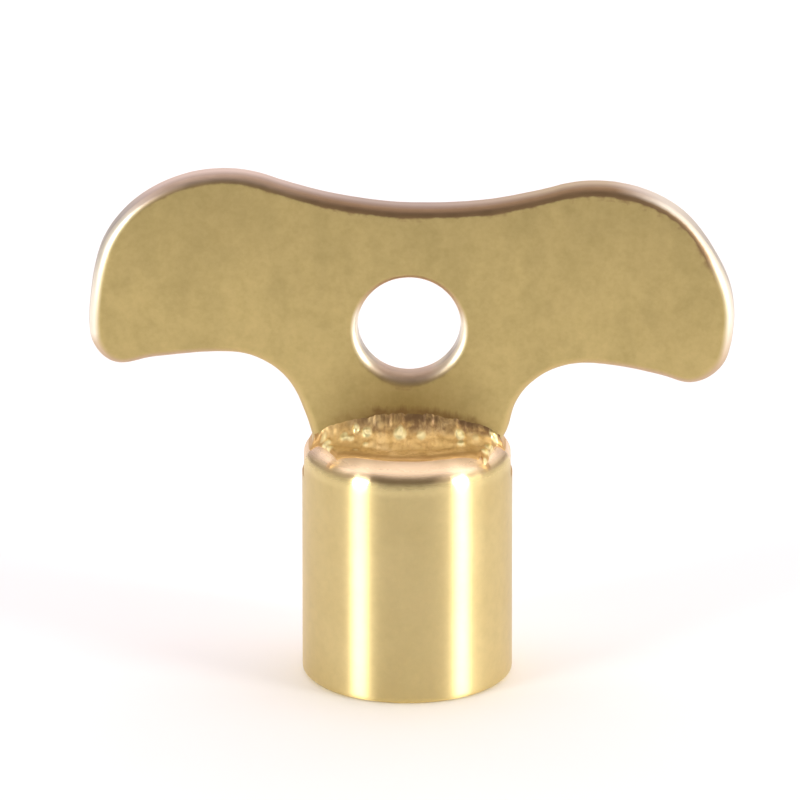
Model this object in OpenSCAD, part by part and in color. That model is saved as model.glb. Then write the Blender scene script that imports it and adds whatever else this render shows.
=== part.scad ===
// Radiator bleed key: a stamped brass butterfly handle, seated in a slot
// across a turned brass barrel and brazed there.  The barrel carries a
// blind square socket that fits the square spindle of an air-vent valve.
// Millimetres, +Z up.  The origin is the centre of the socket mouth, on
// the barrel's lower face.  The handle lies in the XZ plane.

/* [Socket barrel] */
// Outside diameter of the turned barrel
barrel_d = 10; // [9.5:0.1:12]
// Height of the barrel, from the socket mouth to its flat top
barrel_h = 11.8; // [11.6:0.1:14]
// Radius that rounds the barrel's shoulder
shoulder_r = 1.2; // [0.6:0.1:1.4]
// Chamfer round the outside of the lower face
foot_chamfer = 0.2; // [0.1:0.05:0.4]

/* [Square socket] */
// Width of the square socket across its flats
socket_af = 5.2; // [4.8:0.1:5.6]
// Depth of the broached square
socket_depth = 6.6; // [5.5:0.1:6.8]
// Diameter of the drilled pilot hole that the broach follows
pilot_d = 5.5; // [5.3:0.1:5.8]
// Depth of the pilot hole to the start of its drill point
pilot_depth = 7.2; // [7:0.1:7.6]
// Diameter of the countersink at the socket mouth
mouth_d = 6.6; // [6.2:0.1:7]
// Included angle of the drill point
drill_angle = 118; // [110:2:130]

/* [Slot and braze] */
// Depth of the slot milled across the top of the barrel
slot_depth = 1.8; // [1.5:0.1:2]
// Gap that the braze metal fills on each face of the handle's foot
braze_gap = 0.1; // [0.06:0.02:0.16]
// Height of the braze fillet up the face of the handle
fillet_h = 1.2; // [0.8:0.1:1.5]
// Reach of the concave fillet out from the face of the handle
fillet_w = 1.3; // [0.8:0.1:1.6]
// Distance from the handle's centre plane to the edge of the braze pool
pool_reach = 3.4; // [2.8:0.1:3.5]
// Thickness of the braze pool at its edge
pool_t = 0.14; // [0.1:0.02:0.2]
// Half the length of the braze pool's straight edge
pool_half = 3.4; // [3:0.1:3.6]

/* [Handle plate] */
// Thickness of the brass sheet
plate_t = 1.6; // [1.4:0.1:1.8]
// Radius that tumbling leaves on the plate's edges
edge_r = 0.45; // [0.3:0.05:0.5]
// Half the width of the foot where it enters the slot
foot_half = 4.42; // [4.2:0.02:4.6]
// Length of the foot below the top of the barrel
foot_len = 1.5; // [1.2:0.1:1.6]
// Angle by which the sides of the neck lean outwards above the foot
neck_lean = 20; // [10:1:24]
// Radius of the neck between its leaning side and the wing
neck_r = 3.7; // [3.4:0.1:4]
// Height of the neck arc's centre above the top of the barrel
neck_z = 0.4; // [0.3:0.1:0.8]
// Radius of the shallow arch under each wing
under_r = 12; // [10:1:20]
// Radius of the rounded lower corner of each wing
tip_r = 2; // [1.6:0.1:2.2]
// Radius of the big round end of each wing
wing_r = 6.6; // [6.4:0.1:6.8]
// Distance of the wing arc's centre from the handle's axis
wing_x = 8.8; // [8.6:0.1:9.2]
// Height of the wing arc's centre above the top of the barrel
wing_z = 6.4; // [6.2:0.1:6.6]
// Height of the dip between the wings above the top of the barrel
valley_z = 11.6; // [11.4:0.1:12]
// Angle by which the handle sits askew in its slot
seat_tilt = 2; // [0:0.5:2.5]
// Height above the barrel about which the handle is askew
tilt_z = 3; // [0:0.5:6]

/* [Key-ring hole] */
// Diameter of the hole
hole_d = 4.9; // [4.5:0.1:5.2]
// Height of the hole above the top of the barrel
hole_z = 5.7; // [5.4:0.1:6]

/* [Hidden] */
brass_plate = [0.74, 0.64, 0.40];
brass_barrel = [0.78, 0.69, 0.45];
brass_braze = [0.85, 0.66, 0.30];
R = barrel_d / 2;
slot_w = plate_t + 2 * braze_gap;
// Circle of the neck, of the arch under the wing, and of the wing's end
neck_x = foot_half + neck_r * cos(neck_lean)
       + (neck_z + neck_r * sin(neck_lean)) * tan(neck_lean);
neck_c = [neck_x, neck_z];
under_c = [neck_x, neck_z + neck_r - under_r];
wing_c = [wing_x, wing_z];
// The small corner circle touches the wing's end from inside and the arch
// from above
tip_c = meet(wing_c, wing_r - tip_r, under_c, under_r + tip_r);
// The dip between the wings is one arc that touches both wing ends
dip = valley_z - wing_z;
valley_r = (wing_x * wing_x + dip * dip - wing_r * wing_r)
         / (2 * (wing_r - dip));
valley_c = [0, valley_z + valley_r];
// Number of steps in the rounding of an edge
edge_n = 3;
// Height of a point on the handle's axis from which its whole edge is in
// sight
hub_z = hole_z + 1.3;

// The right-hand meeting point of two circles
function meet(a, ra, b, rb) =
    let (d = b - a, l = norm(d), u = d / l,
         k = (ra * ra - rb * rb + l * l) / (2 * l),
         h = sqrt(max(0, ra * ra - k * k)))
    a + k * u + h * [-u[1], u[0]];

function heading(a, b) = atan2(b[1] - a[1], b[0] - a[0]);

// Points along an arc that bulges out of the outline (grow = 1) or into it
// (grow = -1), with the whole outline moved inwards by d
function arc(c, r, a0, a1, n, grow, d, last = 1) =
    [for (i = [0 : n - 1 + last])
        let (a = a0 + (a1 - a0) * i / n)
        c + (r - grow * d) * [cos(a), sin(a)]];

// Right half of the handle's outline, from the bottom of the foot round the
// wing to the dip, moved inwards by d
function half_outline(d) =
    let (a_tip = heading(under_c, tip_c),
         a_wing = heading(wing_c, tip_c),
         a_dip = heading(wing_c, valley_c))
    concat(
        [[foot_half - d, -foot_len + d],
         [foot_half - d, d * tan(neck_lean / 2)]],
        arc(neck_c, neck_r, 180 - neck_lean, 90, 14, -1, d, 0),
        arc(under_c, under_r, 90, a_tip, 6, -1, d, 0),
        arc(tip_c, tip_r, a_tip - 180, a_wing, 12, 1, d, 0),
        arc(wing_c, wing_r, a_wing, a_dip, 22, 1, d, 0),
        arc(valley_c, valley_r, a_dip - 180, -90, 8, -1, d, 1));

// The whole outline, anticlockwise
function outline(d) =
    let (h = half_outline(d), n = len(h))
    concat(h, [for (i = [n - 2 : -1 : 0]) [-h[i][0], h[i][1]]]);

// A flat blank in the XZ plane whose edges are rounded by tumbling.  The
// rounding runs on past both faces, and a slab of the sheet's thickness
// then gives the blank its two flat faces
module rounded_blank(t, r) {
    // each level is [how far the outline is moved in, its Y] on one face
    quarter = [for (i = [0 : edge_n]) let (a = 90 * i / edge_n)
        [r - r * cos(a), t / 2 - r + r * sin(a)]];
    past = quarter[edge_n] + 2 * (quarter[edge_n] - quarter[edge_n - 1]);
    half = concat(quarter, [past]);
    levels = concat([for (i = [edge_n + 1 : -1 : 0]) [half[i][0], -half[i][1]]],
                    half);
    rings = [for (l = levels) [for (p = outline(l[0])) [p[0], l[1], p[1]]]];
    n = len(rings[0]);
    m = len(rings);
    pts = concat([for (ring = rings) each ring],
                 [[0, -past[1], hub_z], [0, past[1], hub_z]]);
    faces = concat(
        [for (i = [0 : n - 1]) [m * n, (i + 1) % n, i]],
        [for (k = [0 : m - 2]) for (i = [0 : n - 1])
            let (j = (i + 1) % n)
            [k * n + i, k * n + j, (k + 1) * n + j, (k + 1) * n + i]],
        [for (i = [0 : n - 1])
            [m * n + 1, (m - 1) * n + i, (m - 1) * n + (i + 1) % n]]);
    intersection() {
        polyhedron(pts, faces);
        cube([6 * wing_r + 2 * wing_x, t, 4 * valley_z], center = true);
    }
}

// Everything that is askew with the handle
module askew() {
    translate([0, 0, barrel_h + tilt_z]) rotate([0, seat_tilt, 0])
        translate([0, 0, -tilt_z]) children();
}

// A round hole with rounded rims, along Y.  Each rim is three short cones,
// and the last one runs on past the handle's face
module ring_hole() {
    r = hole_d / 2;
    n = 3;
    rim = [for (i = [0 : n]) let (a = 90 * i / n)
        [r + edge_r - edge_r * cos(a), plate_t / 2 - edge_r + edge_r * sin(a)]];
    past = rim[n] + 2 * (rim[n] - rim[n - 1]);
    half = concat(rim, [past]);
    rotate([90, 0, 0]) rotate_extrude($fn = 96)
        polygon(concat(
            [[0, -past[1]]],
            [for (i = [n + 1 : -1 : 0]) [half[i][0], -half[i][1]]],
            half,
            [[0, past[1]]]));
}

// Stamped butterfly plate with its foot and key-ring hole
module handle_plate() {
    color(brass_plate) askew() difference() {
        rounded_blank(plate_t, edge_r);
        translate([0, 0, hole_z]) ring_hole();
    }
}

// Outside of the turned barrel
module barrel_body() {
    rotate_extrude($fn = 96) union() {
        difference() {
            square([R, barrel_h - shoulder_r]);
            translate([R, 0]) rotate(45)
                square(foot_chamfer * sqrt(2), center = true);
        }
        square([R - shoulder_r, barrel_h]);
        translate([R - shoulder_r, barrel_h - shoulder_r])
            circle(shoulder_r, $fn = 96);
    }
}

// Space of the slot across the top of the barrel
module slot_space(over = 0) {
    translate([-R - 1, -slot_w / 2, barrel_h - slot_depth])
        cube([2 * R + 2, slot_w, slot_depth + over]);
}

// Turned barrel with its blind square socket and the slot for the handle
module socket_barrel() {
    point_h = pilot_d / 2 / tan(drill_angle / 2);
    sink_h = (mouth_d - socket_af) / 2;
    color(brass_barrel) difference() {
        barrel_body();
        slot_space(1);
        // broached square
        translate([-socket_af / 2, -socket_af / 2, -1])
            cube([socket_af, socket_af, socket_depth + 1]);
        // pilot hole and its drill point
        translate([0, 0, -1]) cylinder(d = pilot_d, h = pilot_depth + 1, $fn = 96);
        translate([0, 0, pilot_depth - 0.001])
            cylinder(d1 = pilot_d, d2 = 0, h = point_h, $fn = 96);
        // countersink at the mouth
        translate([0, 0, -0.001])
            cylinder(d1 = mouth_d, d2 = mouth_d - 2 * sink_h, h = sink_h, $fn = 96);
    }
}

// Half of the section of the braze: the film beside the foot, the concave
// fillet and the thin pool on top of the barrel
module braze_section() {
    h = plate_t / 2;
    n = 6;
    polygon(concat(
        [[0, -shoulder_r], [pool_reach, -shoulder_r],
         [pool_reach, pool_t - 0.06], [pool_reach - 0.06, pool_t]],
        [for (i = [0 : n]) let (a = 90 * i / n)
            [h + fillet_w - fillet_w * sin(a),
             fillet_h - (fillet_h - pool_t) * cos(a)]],
        [[0, fillet_h]]));
}

// Braze metal: a film that lines the slot round the foot, and a pool with a
// concave fillet in front of the handle and behind it
module braze_filler() {
    end_half = foot_half - 0.3;
    // how far the neck leans out over the height of the cut
    out = 3 * tan(neck_lean);
    color(brass_braze) difference() {
        union() {
            // film in the slot, ending flush with the round barrel
            intersection() {
                slot_space();
                barrel_body();
            }
            // pool and fillet on both sides
            intersection() {
                translate([0, 0, barrel_h]) rotate([90, 0, 90])
                    linear_extrude(2 * R, center = true) union() {
                        braze_section();
                        mirror([1, 0]) braze_section();
                    }
                translate([0, 0, barrel_h - shoulder_r])
                    linear_extrude(shoulder_r + fillet_h + 1) polygon([
                        [-end_half, -0.4], [-pool_half, -pool_reach - 0.1],
                        [pool_half, -pool_reach - 0.1], [end_half, -0.4],
                        [end_half, 0.4], [pool_half, pool_reach + 0.1],
                        [-pool_half, pool_reach + 0.1], [-end_half, 0.4]]);
                // the pool stops where the shoulder falls away
                cylinder(r = R - shoulder_r / 2, h = barrel_h + fillet_h + 1, $fn = 96);
            }
        }
        difference() {
            barrel_body();
            slot_space(1);
        }
        // the foot, and the handle's faces above it
        askew() rotate([90, 0, 0]) linear_extrude(plate_t, center = true)
            polygon([[-foot_half, -foot_len], [foot_half, -foot_len],
                     [foot_half, 0], [foot_half + out, 3],
                     [-foot_half - out, 3], [-foot_half, 0]]);
    }
}

handle_plate();
socket_barrel();
braze_filler();
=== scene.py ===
import math

import bmesh
import bpy
import numpy as np
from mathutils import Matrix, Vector, noise
from mathutils.geometry import delaunay_2d_cdt


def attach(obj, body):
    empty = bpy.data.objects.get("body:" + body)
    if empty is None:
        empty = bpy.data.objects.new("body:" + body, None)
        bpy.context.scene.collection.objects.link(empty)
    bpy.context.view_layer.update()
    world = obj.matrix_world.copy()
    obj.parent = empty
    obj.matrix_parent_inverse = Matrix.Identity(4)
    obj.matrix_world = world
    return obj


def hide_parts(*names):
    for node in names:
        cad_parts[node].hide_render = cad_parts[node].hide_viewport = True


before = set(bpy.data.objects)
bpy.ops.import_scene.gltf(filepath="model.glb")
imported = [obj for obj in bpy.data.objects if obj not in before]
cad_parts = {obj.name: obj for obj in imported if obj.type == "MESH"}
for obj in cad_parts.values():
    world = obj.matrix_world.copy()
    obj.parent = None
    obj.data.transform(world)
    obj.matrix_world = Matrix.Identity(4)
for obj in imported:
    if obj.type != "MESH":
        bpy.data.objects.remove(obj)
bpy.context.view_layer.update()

MM = 0.001
rad = math.radians

# ------------------------------------------------------------------ sizes, mm
R = 5.0                 # barrel radius
H = 11.8                # barrel height
SHOULDER = 1.2
FOOT_CHAMFER = 0.2
SOCKET = 5.2            # across flats
SOCKET_DEPTH = 6.6
PILOT = 5.5
PILOT_DEPTH = 7.2
MOUTH = 6.6
SLOT_DEPTH = 1.8
GAP = 0.1
T = 1.6                 # sheet
EDGE = 0.45
FOOT_HALF = 4.42
FOOT_LEN = 1.5
NECK_R, NECK_Z, NECK_LEAN = 3.7, 0.4, math.radians(20)
UNDER_R = 12.0
TIP_R = 2.0
WING_R, WING_X, WING_Z = 6.6, 8.8, 6.4
VALLEY_Z = 11.6
TILT, TILT_Z = 2.0, 3.0
HOLE_R, HOLE_Z = 2.45, 5.7


def n3(x, y, z):
    return noise.noise(Vector((x, y, z)))


def make(name, verts, faces, smooth=True):
    """A mesh object from points in millimetres."""
    me = bpy.data.meshes.new(name)
    me.from_pydata([tuple(c * MM for c in v) for v in verts], [], faces)
    me.validate()
    me.update()
    for p in me.polygons:
        p.use_smooth = smooth
    ob = bpy.data.objects.new(name, me)
    bpy.context.scene.collection.objects.link(ob)
    return ob


def set_normals(ob, normals):
    ob.data.normals_split_custom_set_from_vertices([tuple(n) for n in normals])


def attribute(ob, name, values):
    a = ob.data.attributes.new(name, "FLOAT", "POINT")
    a.data.foreach_set("value", [float(v) for v in values])


# ------------------------------------------------------- outline of the handle
def meet(a, ra, b, rb):
    a, b = np.array(a, float), np.array(b, float)
    d = b - a
    l = np.hypot(*d)
    u = d / l
    k = (ra * ra - rb * rb + l * l) / (2 * l)
    h = math.sqrt(max(0.0, ra * ra - k * k))
    return a + k * u + h * np.array([-u[1], u[0]])


def outline(step):
    """Points round the handle, anticlockwise from the front, and the outward direction at each."""
    lean = NECK_LEAN
    neck_x = FOOT_HALF + NECK_R * math.cos(lean) + (NECK_Z + NECK_R * math.sin(lean)) * math.tan(lean)
    neck = np.array([neck_x, NECK_Z])
    under = np.array([neck_x, NECK_Z + NECK_R - UNDER_R])
    wing = np.array([WING_X, WING_Z])
    tip = meet(wing, WING_R - TIP_R, under, UNDER_R + TIP_R)
    dip = VALLEY_Z - WING_Z
    valley_r = (WING_X ** 2 + dip ** 2 - WING_R ** 2) / (2 * (WING_R - dip))
    valley = np.array([0, VALLEY_Z + valley_r])
    ang = lambda a, b: math.atan2(b[1] - a[1], b[0] - a[0])
    pts, nor = [], []

    def line(p, q, n):
        m = max(2, round(np.hypot(*np.subtract(q, p)) / step))
        for i in range(m):
            pts.append(np.add(p, np.subtract(q, p) * i / m))
            nor.append(np.array(n, float))

    def arc(c, r, a0, a1, grow):
        m = max(6, round(abs(a1 - a0) * r / step))
        for i in range(m):
            a = a0 + (a1 - a0) * i / m
            d = np.array([math.cos(a), math.sin(a)])
            pts.append(np.array(c) + r * d)
            nor.append(grow * d)

    c = 0.5
    a_tip = ang(under, tip)
    a_wing = ang(wing, tip)
    a_dip = ang(wing, valley)
    line((0, -FOOT_LEN), (FOOT_HALF - c, -FOOT_LEN), (0, -1))
    arc((FOOT_HALF - c, -FOOT_LEN + c), c, -math.pi / 2, 0, 1)
    line((FOOT_HALF, -FOOT_LEN + c), (FOOT_HALF, 0), (1, 0))
    start = neck + NECK_R * np.array([-math.cos(lean), math.sin(lean)])
    line((FOOT_HALF, 0), start, (math.cos(lean), -math.sin(lean)))
    arc(neck, NECK_R, math.pi - lean, math.pi / 2, -1)
    arc(under, UNDER_R, math.pi / 2, a_tip, -1)
    arc(tip, TIP_R, a_tip - math.pi, a_wing, 1)
    arc(wing, WING_R, a_wing, a_dip, 1)
    arc(valley, valley_r, a_dip - math.pi, -math.pi / 2, -1)
    p, n = np.array(pts), np.array(nor)
    top_p, top_n = np.array([[0, VALLEY_Z]]), np.array([[0, 1.0]])
    flip = np.array([-1, 1])
    p = np.vstack([p, top_p, (p[1:] * flip)[::-1]])
    n = np.vstack([n, top_n, (n[1:] * flip)[::-1]])
    for x, w, amount, spread in UNEVEN:
        d2 = ((p - [x, w]) ** 2).sum(1) / spread ** 2
        p = p + n * (amount * np.exp(-d2))[:, None]
    return p, n


# where the blank's edge was dressed unevenly: x, height, amount, spread
UNEVEN = [(-15.1, 7.0, -0.27, 2.0), (-14.3, 3.3, 0.06, 0.9), (-12.4, 2.7, -0.28, 1.2), (14.1, 9.8, -0.12, 1.6),
          (12.3, 2.6, -0.14, 1.0), (4.6, 0.7, 0.17, 0.9), (-4.6, 0.9, -0.05, 0.8)]


def tilted(x, y, w):
    """From the handle's own frame (w is above the barrel's top) to the part's."""
    s, c = math.sin(rad(TILT)), math.cos(rad(TILT))
    w = w - TILT_Z
    return (x * c + w * s, y, H + TILT_Z - x * s + w * c)


# ---------------------------------------------------------------- handle plate
def build_plate():
    P, N = outline(0.11)
    n = len(P)
    # tumbling leaves the edge a little uneven
    wob = np.array([0.014 * n3(p[0] * 0.55, p[1] * 0.55, 3.1)
                    + 0.006 * n3(p[0] * 1.9, p[1] * 1.9, 8.4) for p in P])
    # and rounds it most at the tips of the wings
    rr = np.array([EDGE * (1 + 0.10 * n3(p[0] * 0.4 + 9, p[1] * 0.4, 1.7) + 0.42 * smooth01((abs(p[0]) - 13.2) / 1.8))
                   for p in P])
    steps = 9
    levels = []
    for i in range(steps + 1):                      # front face to front side
        a = math.pi / 2 * (1 - i / steps)
        levels.append((1 - math.cos(a), -1, math.sin(a)))
    for i in range(steps + 1):
        a = math.pi / 2 * i / steps
        levels.append((1 - math.cos(a), 1, math.sin(a)))
    verts, faces, edge, nrm, up = [], [], [], [], []
    for inset, side, s in levels:
        c = math.sqrt(max(0.0, 1 - s * s))
        for k in range(n):
            r = rr[k]
            q = P[k] + N[k] * (wob[k] - inset * r)
            y = side * (T / 2 - r + r * s)
            verts.append([q[0], y, q[1]])
            nrm.append([N[k][0] * c, side * s, N[k][1] * c])
            edge.append(1.0 - s * s)
            up.append(N[k][1])
    m = len(levels)
    for j in range(m - 1):
        for k in range(n):
            k2 = (k + 1) % n
            faces.append((j * n + k, (j + 1) * n + k, (j + 1) * n + k2, j * n + k2))
    # the hole, with its rims rounded the same way
    hn = 144
    base = len(verts)
    hs = 8
    hl = []
    for i in range(hs + 1):
        a = math.pi / 2 * (1 - i / hs)
        hl.append((1 - math.cos(a), -1, math.sin(a)))
    for i in range(hs + 1):
        a = math.pi / 2 * i / hs
        hl.append((1 - math.cos(a), 1, math.sin(a)))

    def rim(a):
        """The rounding of the hole's rim, larger below than above; the hole itself stays round and true."""
        return EDGE * (1 - 0.32 * math.sin(a))

    for inset, fside, s in hl:
        for k in range(hn):
            a = 2 * math.pi * k / hn
            e = rim(a)
            q = HOLE_R + e * inset + 0.012 * n3(math.cos(a) * 1.3, math.sin(a) * 1.3, 5.5)
            y = fside * (T / 2 - e + e * s)
            verts.append([q * math.cos(a), y, HOLE_Z + q * math.sin(a)])
            c = math.sqrt(max(0.0, 1 - s * s))
            nrm.append([-math.cos(a) * c, fside * s, -math.sin(a) * c])
            edge.append(1.0 - s * s)
            up.append(-math.sin(a))
    for j in range(len(hl) - 1):
        for k in range(hn):
            k2 = (k + 1) % hn
            faces.append((base + j * hn + k, base + j * hn + k2,
                          base + (j + 1) * hn + k2, base + (j + 1) * hn + k))
    # the two flat faces
    outer = np.array([[verts[k][0], verts[k][2]] for k in range(n)])
    inner = np.array([[verts[base + k][0], verts[base + k][2]] for k in range(hn)])
    grid = []
    g = 0.28
    ax, ay = outer[:, 0], outer[:, 1]
    bx, by = np.roll(ax, -1), np.roll(ay, -1)

    def inside(x, y):
        c = ((ay > y) != (by > y)) & (x < (bx - ax) * (y - ay) / (by - ay + 1e-12) + ax)
        return c.sum() % 2 == 1

    row = 0
    y = outer[:, 1].min()
    while y < outer[:, 1].max():
        x = outer[:, 0].min() + (g / 2 if row % 2 else 0)
        while x < outer[:, 0].max():
            if inside(x, y) and np.hypot(x, y - HOLE_Z) > HOLE_R + rim(math.atan2(y - HOLE_Z, x)) + 0.14:
                if np.hypot(ax - x, ay - y).min() > 0.14:
                    grid.append((x, y))
            x += g
        y += g * 0.866
        row += 1
    pts = [Vector(p) for p in outer] + [Vector(p) for p in inner] + [Vector(p) for p in grid]
    cons = [(k, (k + 1) % n) for k in range(n)] + [(n + k, n + (k + 1) % hn) for k in range(hn)]
    out = delaunay_2d_cdt(pts, cons, [], 0, 1e-7)
    assert len(out[0]) == len(pts)
    tris = []
    for f in out[2]:
        if all(n <= i < n + hn for i in f):             # inside the hole
            continue
        c = sum((pts[i] for i in f), Vector((0, 0))) / 3
        if inside(c[0], c[1]):
            tris.append(tuple(f))
    last, lasth = (m - 1) * n, base + (len(hl) - 1) * hn
    for side in (-1, 1):
        start = len(verts)
        for gx, gy in grid:
            verts.append([gx, side * T / 2, gy])
            nrm.append([0.0, float(side), 0.0])
            edge.append(0.0)
            up.append(0.0)

        def vid(i):
            if i < n:
                return i if side < 0 else last + i
            if i < n + hn:
                return (base if side < 0 else lasth) + i - n
            return start + i - n - hn

        for f in tris:
            a, b, c = (vid(i) for i in f)
            # anticlockwise in X and Z is outward on the front
            faces.append((a, b, c) if side < 0 else (a, c, b))
    # the sheet isn't dead flat
    local = [tuple(v) for v in verts]

    def wave(x, w, side):
        return 0.012 * n3(x * 0.20, w * 0.20, 1 + side) + 0.004 * n3(x * 0.7, w * 0.7, 4 + side)

    for v, m3 in zip(verts, nrm):
        x, y, w = v
        side = 1 if y > 0 else -1
        flat = abs(m3[1]) ** 3
        d = wave(x, w, side)
        v[1] = y + d * flat * side
        e = 0.05
        m3[0] -= flat * (wave(x + e, w, side) - d) / e
        m3[2] -= flat * (wave(x, w + e, side) - d) / e
    world = [tilted(*v) for v in verts]
    ob = make("handle_plate_visual", world, faces)
    s2, c2 = math.sin(rad(TILT)), math.cos(rad(TILT))
    set_normals(ob, [Vector((a * c2 + c * s2, b, -a * s2 + c * c2)).normalized() for a, b, c in nrm])
    attribute(ob, "edge", edge)
    attribute(ob, "up", up)
    attribute(ob, "px", [v[0] for v in local])
    attribute(ob, "pw", [v[2] for v in local])
    return ob


# --------------------------------------------------------------- socket barrel
def lathe(name, profile, seg):
    """A closed turned solid; the profile's first and last points are on the axis."""
    verts, faces = [], []
    ring = []
    for r, z in profile:
        if r < 1e-9:
            ring.append([len(verts)] * seg)
            verts.append((0, 0, z))
        else:
            ring.append(list(range(len(verts), len(verts) + seg)))
            for k in range(seg):
                a = 2 * math.pi * (k + 0.5) / seg
                verts.append((r * math.cos(a), r * math.sin(a), z))
    for j in range(len(profile) - 1):
        a, b = ring[j], ring[j + 1]
        for k in range(seg):
            k2 = (k + 1) % seg
            f = [a[k], a[k2], b[k2], b[k]]
            g = []
            for i in f:
                if i not in g:
                    g.append(i)
            faces.append(tuple(g))
    return make(name, verts, faces)


def box(name, lo, hi):
    v = [(x, y, z) for x in (lo[0], hi[0]) for y in (lo[1], hi[1]) for z in (lo[2], hi[2])]
    f = [(0, 1, 3, 2), (4, 6, 7, 5), (0, 4, 5, 1), (2, 3, 7, 6), (0, 2, 6, 4), (1, 5, 7, 3)]
    return make(name, v, f, smooth=False)


def apply_modifiers(ob):
    dg = bpy.context.evaluated_depsgraph_get()
    me = bpy.data.meshes.new_from_object(ob.evaluated_get(dg))
    old = ob.data
    ob.modifiers.clear()
    ob.data = me
    bpy.data.meshes.remove(old)


def cut(ob, tool, op="DIFFERENCE"):
    m = ob.modifiers.new("cut", "BOOLEAN")
    m.operation = op
    m.solver = "EXACT"
    m.object = tool
    apply_modifiers(ob)
    bpy.data.objects.remove(tool)


def build_barrel():
    seg = 256
    prof = [(0, 0), (R - FOOT_CHAMFER, 0), (R - 0.05, 0.13), (R - 0.012, 0.19), (R, 0.3)]
    prof += [(R, z) for z in np.linspace(0.8, H - SHOULDER, 22)]
    for i in range(1, 15):
        a = math.pi / 2 * i / 14
        prof.append((R - SHOULDER + SHOULDER * math.cos(a), H - SHOULDER + SHOULDER * math.sin(a)))
    prof += [(3.2, H), (2.2, H), (1.0, H), (0, H)]
    ob = lathe("socket_barrel_visual", prof, seg)
    sl = T / 2 + GAP
    cut(ob, box("t1", (-R - 1, -sl, H - SLOT_DEPTH), (R + 1, sl, H + 1)))
    # broached square, its corners left with a small radius
    c, s = 0.18, SOCKET / 2
    ring = []
    for qx, qy, a0 in ((1, 1, 0), (-1, 1, 90), (-1, -1, 180), (1, -1, 270)):
        for i in range(6):
            a = rad(a0 + 90 * i / 5)
            ring.append((qx * (s - c) + c * math.cos(a), qy * (s - c) + c * math.sin(a)))
    k = len(ring)
    v = [(x, y, -1) for x, y in ring] + [(x, y, SOCKET_DEPTH) for x, y in ring]
    f = [tuple(range(k - 1, -1, -1)), tuple(range(k, 2 * k))]
    f += [(i, (i + 1) % k, k + (i + 1) % k, k + i) for i in range(k)]
    cut(ob, make("t2", v, f, smooth=False))
    pt = PILOT / 2 / math.tan(rad(59))
    cut(ob, lathe("t3", [(0, -1), (PILOT / 2, -1), (PILOT / 2, PILOT_DEPTH), (0, PILOT_DEPTH + pt)], 128))
    sink = (MOUTH - SOCKET) / 2
    cut(ob, lathe("t4", [(0, -0.5), (MOUTH / 2 + 0.5, -0.5), (SOCKET / 2, sink), (0, sink)], 128))
    bm = bmesh.new()
    bm.from_mesh(ob.data)
    bmesh.ops.remove_doubles(bm, verts=bm.verts, dist=1e-7)
    bmesh.ops.recalc_face_normals(bm, faces=bm.faces)
    for f in bm.faces:
        f.smooth = True
    bm.to_mesh(ob.data)
    bm.free()
    b = ob.modifiers.new("bevel", "BEVEL")
    b.width = 0.05 * MM
    b.segments = 2
    b.limit_method = "ANGLE"
    b.angle_limit = rad(32)
    b.harden_normals = False
    apply_modifiers(ob)
    bm = bmesh.new()
    bm.from_mesh(ob.data)
    bmesh.ops.remove_doubles(bm, verts=bm.verts, dist=4e-7)
    bmesh.ops.dissolve_degenerate(bm, edges=bm.edges, dist=4e-7)
    bm.to_mesh(ob.data)
    bm.free()
    for p in ob.data.polygons:
        p.use_smooth = True
    ob.data.set_sharp_from_angle(angle=rad(38))
    w = ob.modifiers.new("normals", "WEIGHTED_NORMAL")
    w.keep_sharp = True
    w.weight = 60
    apply_modifiers(ob)
    return ob


# ---------------------------------------------------------------- braze filler
def top_of_barrel(x, y):
    """Height of the barrel's top surface against its flat top."""
    q = math.hypot(x, y) - (R - SHOULDER)
    if q <= 0:
        return 0.0
    q = min(q, SHOULDER * 0.999)
    return -(SHOULDER - math.sqrt(SHOULDER ** 2 - q * q))


def smooth01(t):
    t = min(1.0, max(0.0, t))
    return t * t * (3 - 2 * t)


# lumps that the alloy froze into on the front: x, distance out, size, height
BEADS = [(-3.98, 0.26, 0.17, 0.07), (-3.85, 0.70, 0.23, 0.11), (-3.71, 1.15, 0.21, 0.10),
         (-3.00, 0.56, 0.22, 0.11), (-2.68, 0.70, 0.17, 0.08), (-2.44, 0.30, 0.17, 0.13),
         (-1.92, 0.50, 0.24, 0.13), (-1.99, 1.10, 0.16, 0.07), (-2.45, 1.62, 0.13, 0.05), (-0.35, 0.68, 0.30, 0.13),
         (0.66, 0.74, 0.24, 0.08), (2.50, 0.54, 0.23, 0.13), (2.54, 1.00, 0.19, 0.10), (3.25, 0.55, 0.20, 0.05),
         (4.10, 0.14, 0.21, 0.14), (3.92, 0.98, 0.25, 0.14), (3.72, 1.52, 0.20, 0.12), (3.78, 2.15, 0.22, 0.12)]
BACK_BEADS = [(-3.1, 0.5, 0.28, 0.14), (-1.2, 0.6, 0.34, 0.12), (0.2, 0.4, 0.24, 0.10),
              (1.7, 0.7, 0.30, 0.15), (3.0, 0.4, 0.26, 0.13), (3.9, 0.7, 0.18, 0.12)]


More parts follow.
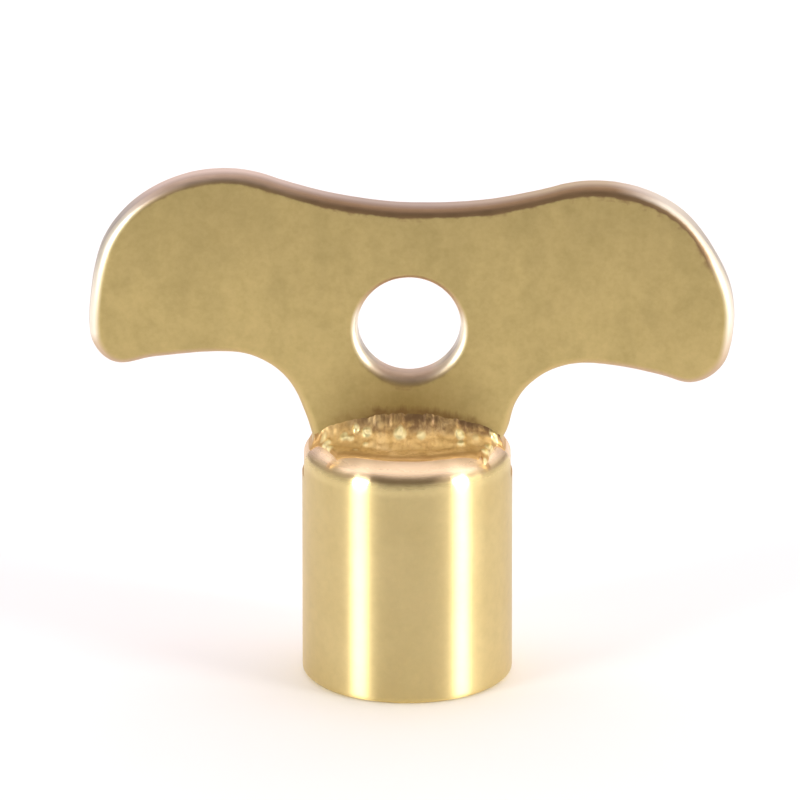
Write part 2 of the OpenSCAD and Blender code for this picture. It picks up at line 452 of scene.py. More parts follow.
def build_braze():
    """One ring of alloy round the foot of the handle, closed underneath."""
    hw, ht = FOOT_HALF - 0.02, T / 2 - 0.02
    per = []
    n1, n2 = 250, 40
    for i in range(n1):                                     # front, left to right
        per.append((-hw + 2 * hw * i / n1, -ht, "f"))
    for i in range(n2):
        per.append((hw, -ht + 2 * ht * i / n2, "r"))
    for i in range(n1):
        per.append((hw - 2 * hw * i / n1, ht, "b"))
    for i in range(n2):
        per.append((-hw, ht - 2 * ht * i / n2, "l"))
    n = len(per)
    # outward direction, turned smoothly round the corners
    raw = []
    for x, y, s in per:
        raw.append({"f": (0, -1), "r": (1, 0), "b": (0, 1), "l": (-1, 0)}[s])
    raw = np.array(raw, float)
    ker = 13
    D = sum(np.roll(raw, k, axis=0) for k in range(-ker, ker + 1))
    D /= np.linalg.norm(D, axis=1)[:, None]
    S = 52
    verts, bead_v, depth, rim_v = [], [], [], []
    for k, (x, y, side) in enumerate(per):
        dx, dy = D[k]
        front = side == "f" or (side in "rl" and y < 0)
        ax = abs(x)
        # how far up the sheet the alloy climbed, and how far out it ran
        if side in "fb":
            arch = max(0.0, 1 - (ax / 4.4) ** 2)
            h = 0.50 + (0.92 if side == "f" else 0.75) * arch
            h *= 1 + 0.10 * n3(x * 1.3, 2.0 if side == "f" else 7.0, 0) + 0.05 * n3(x * 5, 1, 3)
            end = min(1.0, max(0.0, (4.15 - ax) / 0.80))
            reach = 0.30 + (2.56 - 0.74 * smooth01((ax - 0.3) / 3.3)) * end
            reach += (0.04 * n3(x * 0.9, 4, 4) + 0.015 * n3(x * 3.1, 4, 9)) * end
            if side == "f":                             # a run over the shoulder
                reach += 0.85 * math.exp(-((x - 3.76) / 0.20) ** 4)
        else:
            h = 0.50 + 0.06 * n3(x, y * 3, 2)
            reach = 0.30
        pool = 0.12 * (0.8 + 0.2 * smooth01((reach - 0.3) / 1.2))
        f = min(0.72 * reach, 1.15 * (h - pool) + 0.12)
        for j in range(S + 1):
            s = j / S
            if s < 0.62:
                a = s / 0.62 * math.pi / 2
                flat = a / (math.pi / 2)
                r = f * (0.5 * (1 - math.cos(a)) + 0.5 * flat)
                t = pool + (h - pool) * (0.5 * (1 - math.sin(a)) + 0.5 * (1 - flat))
                nr, nz = math.cos(a) / f, math.sin(a) / (h - pool)
                l = math.hypot(nr, nz)
                nr, nz = nr / l, nz / l
            else:
                a = math.pi / 2
                r = f + (reach - f) * (1 - (1 - (s - 0.62) / 0.38) ** 1.4)
                t = pool
                nr, nz = 0.0, 1.0
            lip = (reach - r) / 0.34
            if lip < 1:
                t *= math.sqrt(max(0.0, 1 - (1 - lip) ** 2))
            px, py = x + dx * r, y + dy * r
            env = smooth01(s / 0.14) * smooth01((1 - s) / 0.14)
            steep = math.cos(a)
            seed = 11 if front else 17
            d = 0.030 * n3(px * 3.4, seed, r) * (0.2 + steep)
            d += 0.008 * n3(px * 8.5, seed + 3, r * 1.5) * (0.2 + steep)
            d += (0.060 * n3(px * 1.7, py * 1.7, t * 1.7 + seed) + 0.026 * n3(px * 3.6, py * 3.6, t * 3.6)) * (0.35 + 0.65 * smooth01((1.25 * f - r) / (0.7 * f)))
            b = 0.0
            if side in "fb":
                for bx, br, size, height in (BEADS if side == "f" else BACK_BEADS):
                    d2 = ((px - bx) ** 2 + (r - br) ** 2) / size ** 2
                    if d2 < 5:
                        b += 0.8 * height * math.exp(-d2 ** 2)
            d = env * (d + b)
            X, Y = px + dx * nr * d, py + dy * nr * d
            Z = top_of_barrel(px, py) + max(t + nz * d, 0.0)
            verts.append((X, Y, H + Z))
            bead_v.append(b / 0.10)
            depth.append(steep)
            rim_v.append(smooth01((r - reach + 0.62) / 0.40))
    rows = S + 1
    faces = []
    for k in range(n):
        k2 = (k + 1) % n
        for j in range(S):
            faces.append((k * rows + j, k * rows + j + 1, k2 * rows + j + 1, k2 * rows + j))
    # underside: sunk into the barrel, and back up inside the sheet
    extra = []
    for kind in range(3):
        start = len(verts)
        extra.append(start)
        for k, (x, y, side) in enumerate(per):
            dx, dy = D[k]
            if kind == 0:
                vx, vy, vz = verts[k * rows + S]
                verts.append((vx - dx * 0.03, vy - dy * 0.03, vz - 0.14))
            elif kind == 1:
                verts.append((x * 0.96, y * 0.4, H - 0.5))
            else:
                vx, vy, vz = verts[k * rows]
                verts.append((x * 0.96, y * 0.4, vz - 0.12))
            bead_v.append(0)
            depth.append(0)
            rim_v.append(0)
    for k in range(n):
        k2 = (k + 1) % n
        faces.append((k * rows + S, extra[0] + k, extra[0] + k2, k2 * rows + S))
        faces.append((extra[0] + k, extra[1] + k, extra[1] + k2, extra[0] + k2))
        faces.append((extra[1] + k, extra[2] + k, extra[2] + k2, extra[1] + k2))
        faces.append((extra[2] + k, k * rows, k2 * rows, extra[2] + k2))
    # what filled the slot's two open ends
    for sx in (-1, 1):
        b0 = len(verts)
        ny, nz = 14, 16
        for face in range(2):
            for i in range(ny + 1):
                for j in range(nz + 1):
                    y = (T / 2 + GAP - 0.004) * (2 * i / ny - 1)
                    z = H - SLOT_DEPTH + 0.01 + (SLOT_DEPTH - 0.22) * j / nz
                    over = max(0.0, z - (H - SHOULDER))
                    rim = R - SHOULDER + math.sqrt(SHOULDER ** 2 - over ** 2)
                    bulge = 0.05 * n3(y * 2.2, z * 2.2, sx * 3) - 0.16 * smooth01(1 - abs(2 * i / ny - 1))
                    x = math.sqrt(rim * rim - y * y) - 0.02 + bulge * (0.3 + 0.7 * smooth01((H - 0.6 - z) / 1.0)) if face else 4.1
                    verts.append((sx * x, y, z))
                    bead_v.append(0)
                    depth.append(0.3)
                    rim_v.append(-1)
        w = (ny + 1) * (nz + 1)
        quad = lambda a, b, c, d: faces.append((a, b, c, d) if sx > 0 else (d, c, b, a))
        at = lambda f, i, j: b0 + f * w + i * (nz + 1) + j
        for i in range(ny):
            for j in range(nz):
                quad(at(1, i, j), at(1, i + 1, j), at(1, i + 1, j + 1), at(1, i, j + 1))
                quad(at(0, i, j), at(0, i, j + 1), at(0, i + 1, j + 1), at(0, i + 1, j))
        for i in range(ny):
            quad(at(0, i, 0), at(0, i + 1, 0), at(1, i + 1, 0), at(1, i, 0))
            quad(at(1, i, nz), at(1, i + 1, nz), at(0, i + 1, nz), at(0, i, nz))
        for j in range(nz):
            quad(at(0, 0, j), at(1, 0, j), at(1, 0, j + 1), at(0, 0, j + 1))
            quad(at(0, ny, j + 1), at(1, ny, j + 1), at(1, ny, j), at(0, ny, j))
    ob = make("braze_filler_visual", verts, faces)
    bm = bmesh.new()
    bm.from_mesh(ob.data)
    bmesh.ops.recalc_face_normals(bm, faces=bm.faces)
    bm.to_mesh(ob.data)
    bm.free()
    attribute(ob, "bead", bead_v)
    attribute(ob, "climb", depth)
    attribute(ob, "rim", rim_v)
    return ob


# ------------------------------------------------------------------- materials
class Nodes:
    def __init__(self, name):
        self.mat = bpy.data.materials.new(name)
        self.mat.use_nodes = True
        self.t = self.mat.node_tree
        self.t.nodes.clear()
        self.out = self.t.nodes.new("ShaderNodeOutputMaterial")
        self.b = self.t.nodes.new("ShaderNodeBsdfPrincipled")
        self.link(self.b, "BSDF", self.out, "Surface")
        self.b.inputs["Metallic"].default_value = 1.0

    def link(self, a, ao, b, bi):
        self.t.links.new(a.outputs[ao], b.inputs[bi])

    def add(self, kind, **props):
        n = self.t.nodes.new(kind)
        for k, v in props.items():
            setattr(n, k, v)
        return n

    def coords(self, scale):
        tc = self.add("ShaderNodeTexCoord")
        mp = self.add("ShaderNodeMapping")
        self.link(tc, "Object", mp, "Vector")
        mp.inputs["Scale"].default_value = scale
        return mp

    def noise(self, vec, scale, detail=3.0, rough=0.55, dist=0.0):
        n = self.add("ShaderNodeTexNoise")
        self.link(vec, "Vector", n, "Vector")
        n.inputs["Scale"].default_value = scale
        n.inputs["Detail"].default_value = detail
        n.inputs["Roughness"].default_value = rough
        n.inputs["Distortion"].default_value = dist
        return n

    def ramp(self, src, out, stops):
        r = self.add("ShaderNodeValToRGB")
        self.link(src, out, r, "Fac")
        e = r.color_ramp.elements
        while len(e) > 1:
            e.remove(e[-1])
        for i, (p, c) in enumerate(stops):
            el = e[0] if i == 0 else e.new(p)
            el.position = p
            el.color = c if len(c) == 4 else (*c, 1)
        return r

    def rng(self, src, out, a, b, c, d):
        m = self.add("ShaderNodeMapRange")
        self.link(src, out, m, "Value")
        for k, v in zip(("From Min", "From Max", "To Min", "To Max"), (a, b, c, d)):
            m.inputs[k].default_value = v
        return m

    def math(self, op, a, b):
        m = self.add("ShaderNodeMath", operation=op)
        for i, s in enumerate((a, b)):
            if isinstance(s, tuple):
                self.t.links.new(s[0].outputs[s[1]], m.inputs[i])
            else:
                m.inputs[i].default_value = s
        return m

    def mix(self, fac, a, b, blend="MIX"):
        m = self.add("ShaderNodeMix", data_type="RGBA", blend_type=blend)
        for i, s in ((0, fac), (6, a), (7, b)):
            if isinstance(s, tuple) and hasattr(s[0], "outputs"):
                self.t.links.new(s[0].outputs[s[1]], m.inputs[i])
            elif i == 0:
                m.inputs[0].default_value = s
            else:
                m.inputs[i].default_value = (*s, 1)
        return m

    def attr(self, name):
        return self.add("ShaderNodeAttribute", attribute_name=name)

    def bump(self, layers, fade=None):
        """layers: (node, output, strength, distance in metres)"""
        prev = None
        for node, out, strength, dist in layers:
            b = self.add("ShaderNodeBump")
            b.inputs["Strength"].default_value = strength
            if fade:
                self.link(self.math("MULTIPLY", (fade, "Result"), strength), 0, b, "Strength")
            b.inputs["Distance"].default_value = dist
            self.link(node, out, b, "Height")
            if prev:
                self.link(prev, "Normal", b, "Normal")
            prev = b
        self.link(prev, "Normal", self.b, "Normal")


def mat_plate():
    m = Nodes("tumbled_brass")
    even = m.coords((1, 1, 1))
    tall = m.coords((1, 1, 0.16))           # fine vertical grain
    blot = m.noise(even, 260, 3, 0.6)
    fine = m.noise(even, 1500, 4, 0.65)
    grain = m.noise(tall, 5200, 3, 0.6)
    speck = m.noise(even, 4200, 2, 0.5)
    base = m.ramp(blot, "Fac", [(0.30, (0.490, 0.383, 0.160)), (0.52, (0.524, 0.411, 0.173)), (0.72, (0.545, 0.427, 0.179))])
    mott = m.ramp(fine, "Fac", [(0.32, (0.90, 0.90, 0.86)), (0.60, (1.03, 1.03, 1.05))])
    c1 = m.mix(0.65, (base, "Color"), (mott, "Color"), "MULTIPLY")
    fleck = m.ramp(speck, "Fac", [(0.34, (0.955, 0.955, 0.94)), (0.62, (1.02, 1.02, 1.03))])
    c1 = m.mix(0.8, (c1, 2), (fleck, "Color"), "MULTIPLY")
    drawn = m.noise(m.coords((1, 1, 0.55)), 800, 2, 0.5)
    veil = m.ramp(drawn, "Fac", [(0.36, (0.93, 0.935, 0.92)), (0.62, (1.02, 1.02, 1.02))])
    c1 = m.mix(0.9, (c1, 2), (veil, "Color"), "MULTIPLY")
    # edges that tumbling has worn bright, with painted highlight and shade by the way they face: lightest facing
    # sideways, a little darker and pinker facing up, darkest facing down
    edge = m.attr("edge")
    up = m.attr("up")
    side = m.rng(m.attr("px"), "Fac", -6.0, 10.0, 0.0, 1.0)
    keep = m.math("SUBTRACT", (up, "Fac"), (m.math("MULTIPLY", (side, "Result"), 0.24), 0))
    wear_and_edge_light = m.ramp(m.rng(keep, 0, -1.0, 1.0, 0.0, 1.0), "Result",
                  [(0.05, (0.58, 0.43, 0.29)), (0.25, (0.72, 0.57, 0.40)), (0.38, (0.97, 0.91, 0.77)),
                   (0.83, (0.97, 0.90, 0.76)), (0.91, (0.90, 0.745, 0.64)), (1.0, (0.86, 0.71, 0.61))])
    # painted shade: the upper edges are darker from the middle to the right wing than on the left wing
    along = m.ramp(m.rng(m.attr("px"), "Fac", -15.0, 15.0, 0.0, 1.0), "Result",
                   [(0.24, (1.0, 1.0, 1.0)), (0.42, (0.68, 0.67, 0.66)), (0.66, (0.68, 0.66, 0.65)), (0.90, (0.86, 0.85, 0.84))])
    above = m.rng(keep, 0, 0.65, 0.9, 0.0, 1.0)
    px2, pw2 = m.attr("px"), m.attr("pw")
    ring = m.math("SQRT", (m.math("ADD", (m.math("POWER", (px2, "Fac"), 2.0), 0),
                                  (m.math("POWER", (m.math("SUBTRACT", (pw2, "Fac"), 5.7), 0), 2.0), 0)), 0), 0.0)
    near = m.rng(ring, 0, 3.7, 3.3, 0.0, 1.0)
    top = m.math("MULTIPLY", (above, "Result"), (m.rng(near, "Result", 0.0, 1.0, 1.0, 0.35), "Result"))
    wear_and_edge_light = m.mix((top, 0), (wear_and_edge_light, "Color"), (m.mix(1.0, (wear_and_edge_light, "Color"), (along, "Color"), "MULTIPLY"), 2))
    # painted reflection: the very outside of the wings' ends and of the hole, where the edge faces sideways, is
    # painted dull grey
    flank = m.math("MULTIPLY", (m.rng(m.math("ABSOLUTE", (up, "Fac"), 0.0), 0, 0.85, 0.6, 0.0, 1.0), "Result"),
                   (m.rng(edge, "Fac", 0.86, 0.97, 0.0, 0.55), "Result"))
    wear_and_edge_light = m.mix((flank, 0), (wear_and_edge_light, 2), (0.40, 0.37, 0.35))
    # the neck's own edges are left like its face, without the edge wear and painted highlight
    far = m.rng(m.math("ABSOLUTE", (px2, "Fac"), 0.0), 0, 7.5, 10.5, 0.0, 1.0)
    bright = m.math("MAXIMUM", (m.math("MAXIMUM", (far, "Result"), (near, "Result")), 0), (above, "Result"))
    wear_and_edge_light = m.mix((bright, 0), (0.60, 0.46, 0.21), (wear_and_edge_light, 2))
    c2 = m.mix((m.rng(edge, "Fac", 0.03, 0.38, 0.0, 0.93), "Result"), (c1, 2), (wear_and_edge_light, 2))
    # painted shade: where the front face turns into the upper edge it is painted dark brown, standing in for the
    # reflection of the dark surroundings in front
    lean = m.math("ADD", (up, "Fac"), (m.math("MULTIPLY", (side, "Result"), 0.36), 0))
    crown = m.rng(lean, 0, 0.66, 0.90, 0.0, 0.92)
    frayed = m.math("ADD", (edge, "Fac"), (m.rng(m.noise(even, 1900, 2, 0.5), "Fac", 0.3, 0.7, -0.035, 0.035), "Result"))
    across = m.add("ShaderNodeSeparateXYZ")
    m.link(even, "Vector", across, "Vector")
    deep = m.rng(across, "Y", 0.00006, -0.00056, 0.0, 1.0)
    # on the right wing it is only a line beside the face
    line2 = m.math("MULTIPLY", (deep, "Result"), (m.rng(frayed, 0, 0.60, 0.25, 0.0, 1.0), "Result"))
    wing = m.rng(m.attr("px"), "Fac", 9.5, 12.0, 0.0, 1.0)
    deep = m.math("ADD", (m.math("MULTIPLY", (deep, "Result"), (m.math("SUBTRACT", 1.0, (wing, "Result")), 0)), 0),
                  (m.math("MULTIPLY", (line2, 0), (wing, "Result")), 0))
    deep = m.math("MULTIPLY", (deep, 0), (m.rng(near, "Result", 0.0, 1.0, 1.0, 0.5), "Result"))
    deep = m.math("MULTIPLY", (deep, 0), (m.rng(m.attr("px"), "Fac", -11.0, -4.0, 0.66, 1.0), "Result"))
    turn = m.math("MULTIPLY", (deep, 0), (m.rng(frayed, 0, 0.0, 0.05, 0.0, 1.0), "Result"))
    c2 = m.mix((m.math("MULTIPLY", (crown, "Result"), (turn, 0)), 0), (c2, 2), (0.27, 0.165, 0.085))
    # darker round the foot of the handle, from the braze up to the hole
    px, pw = m.attr("px"), m.attr("pw")
    away = m.math("POWER", (px, "Fac"), 2.0)
    up2 = m.math("POWER", (m.math("SUBTRACT", (pw, "Fac"), 1.0), 0), 2.0)
    dist = m.math("SQRT", (m.math("ADD", (away, 0), (up2, 0)), 0), 0.0)
    halo = m.rng(dist, 0, 4.6, 0.8, 0.0, 0.85)
    c2 = m.mix((halo, "Result"), (c2, 2), (0.50, 0.45, 0.33), "MULTIPLY")
    # painted shade: the handle is painted darker towards its top
    high = m.rng(pw, "Fac", 6.0, 12.0, 0.0, 0.8)
    c2 = m.mix((high, "Result"), (c2, 2), (0.77, 0.77, 0.77), "MULTIPLY")
    # scale that the torch left just above the braze, in patches along an arch
    x2 = m.math("MULTIPLY", (px, "Fac"), (px, "Fac"))
    line = m.math("MULTIPLY_ADD", (x2, 0), -0.045)
    line.inputs[2].default_value = 1.50
    d = m.math("SUBTRACT", (pw, "Fac"), (line, 0))
    smear = m.noise(m.coords((1, 1, 0.22)), 2400, 3, 0.6)
    dd = m.math("ADD", (d, 0), (m.rng(smear, "Fac", 0.3, 0.7, -0.17, 0.17), "Result"))
    band = m.rng(dd, "Value", 0.36, 0.02, 0.0, 1.0)
    spots = m.noise(m.coords((1, 1, 1.7)), 900, 2, 0.5, 0.3)
    sp = m.rng(spots, "Fac", 0.38, 0.53, 0.35, 1.0)
    ends = m.rng(x2, 0, 18.0, 11.0, 0.0, 1.0)
    s1 = m.math("MULTIPLY", (band, "Result"), (sp, "Result"))
    s2 = m.math("MULTIPLY", (s1, 0), (ends, "Result"))
    # the torch stood to the right
    s2 = m.math("MULTIPLY", (s2, 0), (m.rng(px, "Fac", -3.0, -1.7, 0.25, 1.0), "Result"))
    c3 = m.mix((m.math("MULTIPLY", (s2, 0), 0.88), 0), (c2, 2), (0.20, 0.120, 0.045))
    m.link(c3, 2, m.b, "Base Color")
    r1 = m.rng(fine, "Fac", 0.3, 0.7, 0.38, 0.48)
    r2 = m.math("MULTIPLY_ADD", (m.math("MULTIPLY", (crown, "Result"), (edge, "Fac")), 0), 0.20)
    m.link(r1, "Result", r2, 2)
    m.link(r2, 0, m.b, "Roughness")
    even_edge = m.rng(edge, "Fac", 0.05, 0.5, 1.0, 0.25)
    m.bump(fade=even_edge, layers=[(blot, "Fac", 0.10, 0.00012), (fine, "Fac", 0.16, 0.00003), (grain, "Fac", 0.14, 0.000012), (speck, "Fac", 0.10, 0.00001)])
    return m.mat


def mat_barrel():
    m = Nodes("turned_brass")
    even = m.coords((1, 1, 1))
    rings = m.coords((0.06, 0.06, 1))       # turning marks run round the barrel
    blot = m.noise(even, 300, 3, 0.6)
    fine = m.noise(even, 1700, 3, 0.6)
    turn = m.noise(rings, 7000, 3, 0.7)
    turn2 = m.noise(rings, 1500, 2, 0.6)
    base = m.ramp(blot, "Fac", [(0.30, (0.860, 0.695, 0.325)), (0.55, (0.900, 0.735, 0.355)), (0.75, (0.925, 0.745, 0.362))])
    mott = m.ramp(fine, "Fac", [(0.30, (0.93, 0.93, 0.91)), (0.62, (1.02, 1.02, 1.03))])
    c1 = m.mix(0.7, (base, "Color"), (mott, "Color"), "MULTIPLY")
    # the rounded shoulder was polished after turning; its colour is tinted pink by the torch and painted towards the
    # pink-white of its highlight
    high = m.add("ShaderNodeSeparateXYZ")
    m.link(m.coords((1, 1, 1)), "Vector", high, "Vector")
    heat_and_highlight_tint = m.rng(high, "Z", 0.0110, 0.0114, 0.0, 0.85)
    c2 = m.mix((heat_and_highlight_tint, "Result"), (c1, 2), (0.95, 0.71, 0.49))
    # painted shade: a fine dark ring round the shoulder, standing in for the reflection of the dark surroundings in
    # front
    wob = m.math("ADD", (high, "Z"), (m.rng(m.noise(even, 500, 2), "Fac", 0.3, 0.7, -0.00003, 0.00003), "Result"))
    off = m.math("ABSOLUTE", (m.math("SUBTRACT", (wob, 0), 0.01117), 0), 0.0)
    rim = m.math("MULTIPLY", (m.rng(off, 0, 0.00012, 0.00003, 0.0, 0.36), "Result"), (m.rng(fine, "Fac", 0.35, 0.6, 0.6, 1.0), "Result"))
    c3 = m.mix((rim, 0), (c2, 2), (0.42, 0.26, 0.12))
    m.link(c3, 2, m.b, "Base Color")
    wall = m.rng(high, "Z", 0.0112, 0.0104, 0.0, 0.23)
    dull = m.rng(high, "Z", 0.01138, 0.01168, 0.0, 0.12)
    m.link(m.rng(high, "Z", 0.01130, 0.01158, 1.0, 0.5), "Result", m.b, "Metallic")
    r1 = m.math("ADD", (wall, "Result"), (m.rng(fine, "Fac", 0.3, 0.7, 0.16, 0.20), "Result"))
    r1 = m.math("ADD", (r1, 0), (dull, "Result"))
    m.link(r1, 0, m.b, "Roughness")
    m.b.inputs["Anisotropic"].default_value = 1.0
    m.b.inputs["Anisotropic Rotation"].default_value = 0.25
    tan = m.add("ShaderNodeTangent", direction_type="RADIAL", axis="Z")
    m.link(tan, "Tangent", m.b, "Tangent")
    m.bump([(turn, "Fac", 0.18, 0.00001), (turn2, "Fac", 0.12, 0.00002), (fine, "Fac", 0.08, 0.00001)])
    return m.mat


def mat_braze():
    m = Nodes("braze_alloy")
    even = m.coords((1, 1, 1))
    a = m.noise(even, 900, 3, 0.6, 0.5)
    b = m.noise(m.coords((1, 1, 0.4)), 2600, 4, 0.7)
    base = m.ramp(a, "Fac", [(0.30, (0.66, 0.42, 0.15)), (0.46, (0.78, 0.53, 0.20)), (0.62, (0.90, 0.64, 0.28)), (0.8, (0.95, 0.72, 0.36))])
    mott = m.ramp(b, "Fac", [(0.34, (0.72, 0.64, 0.54)), (0.52, (1, 1, 1))])
    c1 = m.mix(0.75, (base, "Color"), (mott, "Color"), "MULTIPLY")
    bead = m.attr("bead")
    # painted shade: the alloy is darker towards the outer edge of its pool, standing in for the dark reflection there
    c1 = m.mix((m.rng(m.attr("rim"), "Fac", 0.0, 1.0, 0.0, 0.72), "Result"), (c1, 2), (0.50, 0.28, 0.09))
    # painted highlight: the beads are lightened to cream, standing in for their glints
    c2 = m.mix((m.rng(bead, "Fac", 0.12, 0.72, 0.0, 0.97), "Result"), (c1, 2), (1.0, 0.88, 0.46))
    climb = m.attr("climb")
    soot = m.noise(m.coords((1, 1, 0.25)), 2000, 3, 0.6, 0.2)
    s1 = m.math("MULTIPLY", (m.rng(climb, "Fac", 0.58, 0.84, 0.0, 1.0), "Result"), (m.rng(soot, "Fac", 0.38, 0.60, 0.35, 1.0), "Result"))
    where = m.add("ShaderNodeSeparateXYZ")
    m.link(even, "Vector", where, "Vector")
    torch = m.rng(where, "X", -0.0030, -0.0017, 0.30, 1.0)
    s1 = m.math("MULTIPLY", (s1, 0), (torch, "Result"))
    clean = m.rng(bead, "Fac", 0.1, 0.5, 1.0, 0.15)
    s1 = m.math("MULTIPLY", (s1, 0), (clean, "Result"))
    c3 = m.mix((m.math("MULTIPLY", (s1, 0), 0.93), 0), (c2, 2), (0.215, 0.115, 0.045))
    burnt = m.math("MULTIPLY", (m.rng(climb, "Fac", 0.90, 0.985, 0.0, 0.72), "Result"), (m.rng(soot, "Fac", 0.36, 0.56, 0.45, 1.0), "Result"))
    burnt = m.math("MULTIPLY", (burnt, 0), (torch, "Result"))
    c3 = m.mix((burnt, 0), (c3, 2), (0.115, 0.062, 0.024))
    # the thin film over the slot's ends took the shoulder's colour, its painted highlight tint included
    c3 = m.mix((m.rng(m.attr("rim"), "Fac", -0.05, -0.6, 0.0, 0.85), "Result"), (c3, 2), (0.84, 0.635, 0.44))
    m.link(c3, 2, m.b, "Base Color")
    r1 = m.math("MULTIPLY_ADD", (m.rng(bead, "Fac", 0.0, 1.0, 0.0, 1.0), "Result"), -0.11)
    m.link(m.rng(b, "Fac", 0.35, 0.7, 0.46, 0.38), "Result", r1, 2)
    # glassy flux is left in a thin skin over the alloy
    m.link(m.rng(bead, "Fac", 0.2, 0.8, 0.5, 0.78), "Result", m.b, "Metallic")
    m.link(r1, 0, m.b, "Roughness")
    m.bump([(a, "Fac", 0.22, 0.00005), (b, "Fac", 0.25, 0.00002)])
    return m.mat


def mat_floor():
    m = Nodes("pale_floor")
    m.b.inputs["Metallic"].default_value = 0.0
    n = m.noise(m.coords((1, 1, 1)), 30, 3)
    r = m.ramp(n, "Fac", [(0.3, (0.900, 0.898, 0.893)), (0.7, (0.915, 0.913, 0.909))])
    m.link(r, "Color", m.b, "Base Color")
    m.b.inputs["Roughness"].default_value = 0.7
    m.b.inputs["Specular IOR Level"].default_value = 0.2
    return m.mat


# ---------------------------------------------------------------------- camera
SCALE = 21.05                     # pixels per millimetre in the 800-pixel frame
ELEV = 20.0
DIST = 900.0
cam = bpy.data.cameras.new("camera")
cam_ob = bpy.data.objects.new("camera", cam)
bpy.context.scene.collection.objects.link(cam_ob)
cam.sensor_width = 36
cam.lens = 36 * DIST / (800 / SCALE)
cam.clip_start, cam.clip_end = 0.05, 20
target = Vector(((400 - 407.3) / SCALE, 0, (668.6 - 400) / SCALE / math.cos(rad(ELEV)))) * MM
cam_ob.location = target + Vector((0, -math.cos(rad(ELEV)), math.sin(rad(ELEV)))) * DIST * MM
cam_ob.rotation_euler = (rad(90 - ELEV), 0, 0)
bpy.context.scene.camera = cam_ob

# ---------------------------------------------------------------------- pieces
plate = build_plate()
barrel = build_barrel()
braze = build_braze()
for ob, node, slot, mat in ((plate, "handle_plate", "plate_brass", mat_plate()),
                            (barrel, "socket_barrel", "barrel_brass", mat_barrel()),
                            (braze, "braze_filler", "braze_brass", mat_braze())):
    ob.data.materials.clear()
    ob.data.materials.append(mat)
    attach(ob, "root")
    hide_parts(node)

# --------------------------------------------------------------- floor, lights
fl = make("floor", [(-3000, -3000, -0.02), (3000, -3000, -0.02), (3000, 3000, -0.02), (-3000, 3000, -0.02)], [(0, 1, 2, 3)])
fl.data.materials.append(mat_floor())


def area(name, loc, aim, size, power, color=(1, 1, 1)):
    l = bpy.data.lights.new(name, "AREA")
    l.shape = "RECTANGLE"
    l.size, l.size_y = size[0] * MM, size[1] * MM
    l.energy = power
    l.color = color
    o = bpy.data.objects.new(name, l)
    bpy.context.scene.collection.objects.link(o)
    o.location = Vector(loc) * MM
    o.rotation_euler = (Vector(aim) * MM - o.location).to_track_quat("-Z", "Y").to_euler()
    return o


def polar(az, el, d):
    """Azimuth from the camera's side, positive to the right, degrees; millimetres."""
    return (d * math.sin(rad(az)) * math.cos(rad(el)), -d * math.cos(rad(az)) * math.cos(rad(el)), d * math.sin(rad(el)) + 10)


LEVEL = 0.78


def softbox(name, loc, aim, size, radiance, color=(1, 1, 1)):
    return area(name, loc, aim, size, LEVEL * math.pi * radiance * size[0] * size[1] * 1e-6, color)


softbox("strip_left", polar(-53, 14, 400), (0, 0, 8), (118, 205), 14.0, (1.0, 0.99, 0.97))
softbox("strip_right", polar(61, 14, 400), (0, 0, 8), (118, 205), 14.0, (1.0, 0.98, 0.95))
softbox("wide_left", polar(-50, 12, 440), (0, 0, 8), (270, 190), 0.65, (1.0, 0.97, 0.93))
softbox("wide_right", polar(68, 12, 440), (0, 0, 8), (330, 190), 1.05, (1.0, 0.96, 0.90))
softbox("top", (0, 170, 250), (0, 170, 0), (620, 410), 1.35, (1.0, 0.94, 1.0))

world = bpy.data.worlds.new("studio")
bpy.context.scene.world = world
world.use_nodes = True
wt = world.node_tree
wt.nodes.clear()
wo = wt.nodes.new("ShaderNodeOutputWorld")
bg = wt.nodes.new("ShaderNodeBackground")
wt.links.new(bg.outputs[0], wo.inputs[0])
tc = wt.nodes.new("ShaderNodeTexCoord")
sep = wt.nodes.new("ShaderNodeSeparateXYZ")
wt.links.new(tc.outputs["Generated"], sep.inputs[0])


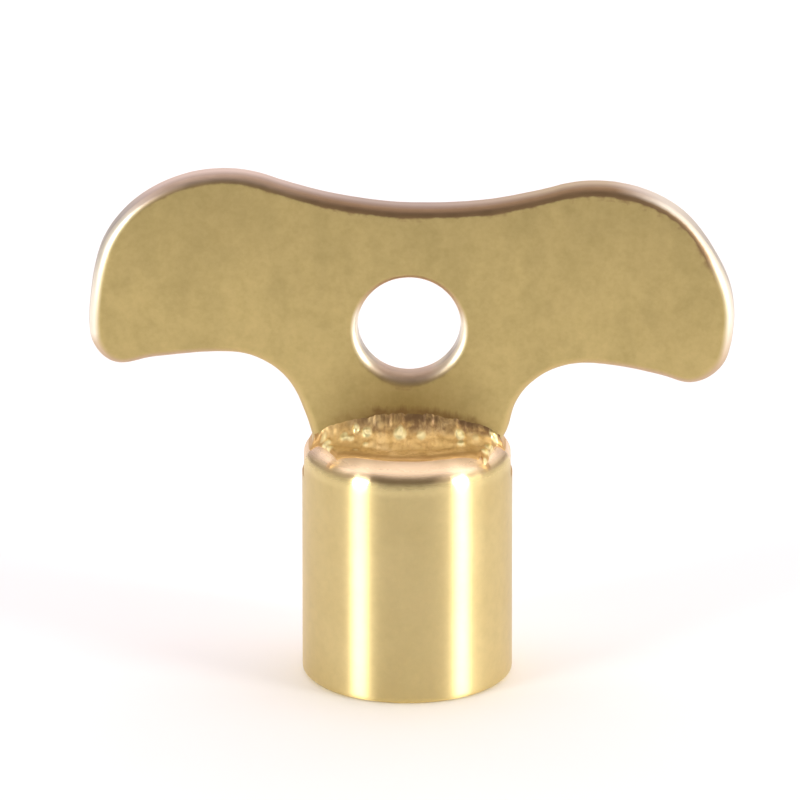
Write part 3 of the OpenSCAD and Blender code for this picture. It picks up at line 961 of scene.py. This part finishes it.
def sky(stops):
    """Colour by the sine of the elevation."""
    r = wt.nodes.new("ShaderNodeValToRGB")
    wt.links.new(sep.outputs["Z"], r.inputs["Fac"])
    e = r.color_ramp.elements
    while len(e) > 1:
        e.remove(e[-1])
    for i, (p, v, tint) in enumerate(stops):
        el = e[0] if i == 0 else e.new(p)
        el.position = p
        el.color = (v * tint[0], v * tint[1], v * tint[2], 1)
    return r


PINK, WARM, COOL = (1.0, 0.93, 0.90), (1.0, 0.90, 0.80), (0.98, 0.96, 1.0)
front = sky([(0.0, 0.70, COOL), (0.20, 0.65, COOL), (0.34, 0.33, WARM), (0.44, 0.25, (1.0, 0.86, 0.74)), (0.86, 0.25, (1.0, 0.86, 0.74)), (0.95, 0.9, PINK), (1.0, 0.9, PINK)])
MAUVE = (1.0, 0.86, 1.02)
back = sky([(0.0, 0.72, PINK), (0.12, 0.74, MAUVE), (0.5, 0.68, MAUVE), (1.0, 0.90, PINK)])
left = sky([(0.0, 0.40, PINK), (0.3, 0.72, PINK), (0.8, 0.72, PINK), (1.0, 0.80, PINK)])
right = sky([(0.0, 0.45, PINK), (0.35, 1.10, PINK), (0.8, 1.25, PINK), (1.0, 0.90, PINK)])


def blend_sky(under, over, axis, lo, hi):
    f = wt.nodes.new("ShaderNodeMapRange")
    f.interpolation_type = "SMOOTHSTEP"
    wt.links.new(sep.outputs[axis], f.inputs["Value"])
    f.inputs["From Min"].default_value, f.inputs["From Max"].default_value = lo, hi
    m = wt.nodes.new("ShaderNodeMix")
    m.data_type = "RGBA"
    wt.links.new(f.outputs[0], m.inputs[0])
    wt.links.new(under, m.inputs[6])
    wt.links.new(over, m.inputs[7])
    return m.outputs[2]


mixed = blend_sky(front.outputs["Color"], back.outputs["Color"], "Y", -0.35, 0.15)
mixed = blend_sky(mixed, right.outputs["Color"], "X", 0.35, 0.75)
mixed = blend_sky(mixed, left.outputs["Color"], "X", -0.45, -0.80)
wt.links.new(mixed, bg.inputs["Color"])
bg.inputs["Strength"].default_value = LEVEL

sc = bpy.context.scene
sc.view_settings.view_transform = "Standard"
sc.view_settings.look = "None"
sc.view_settings.exposure = 0.0
sc.view_settings.gamma = 1.0
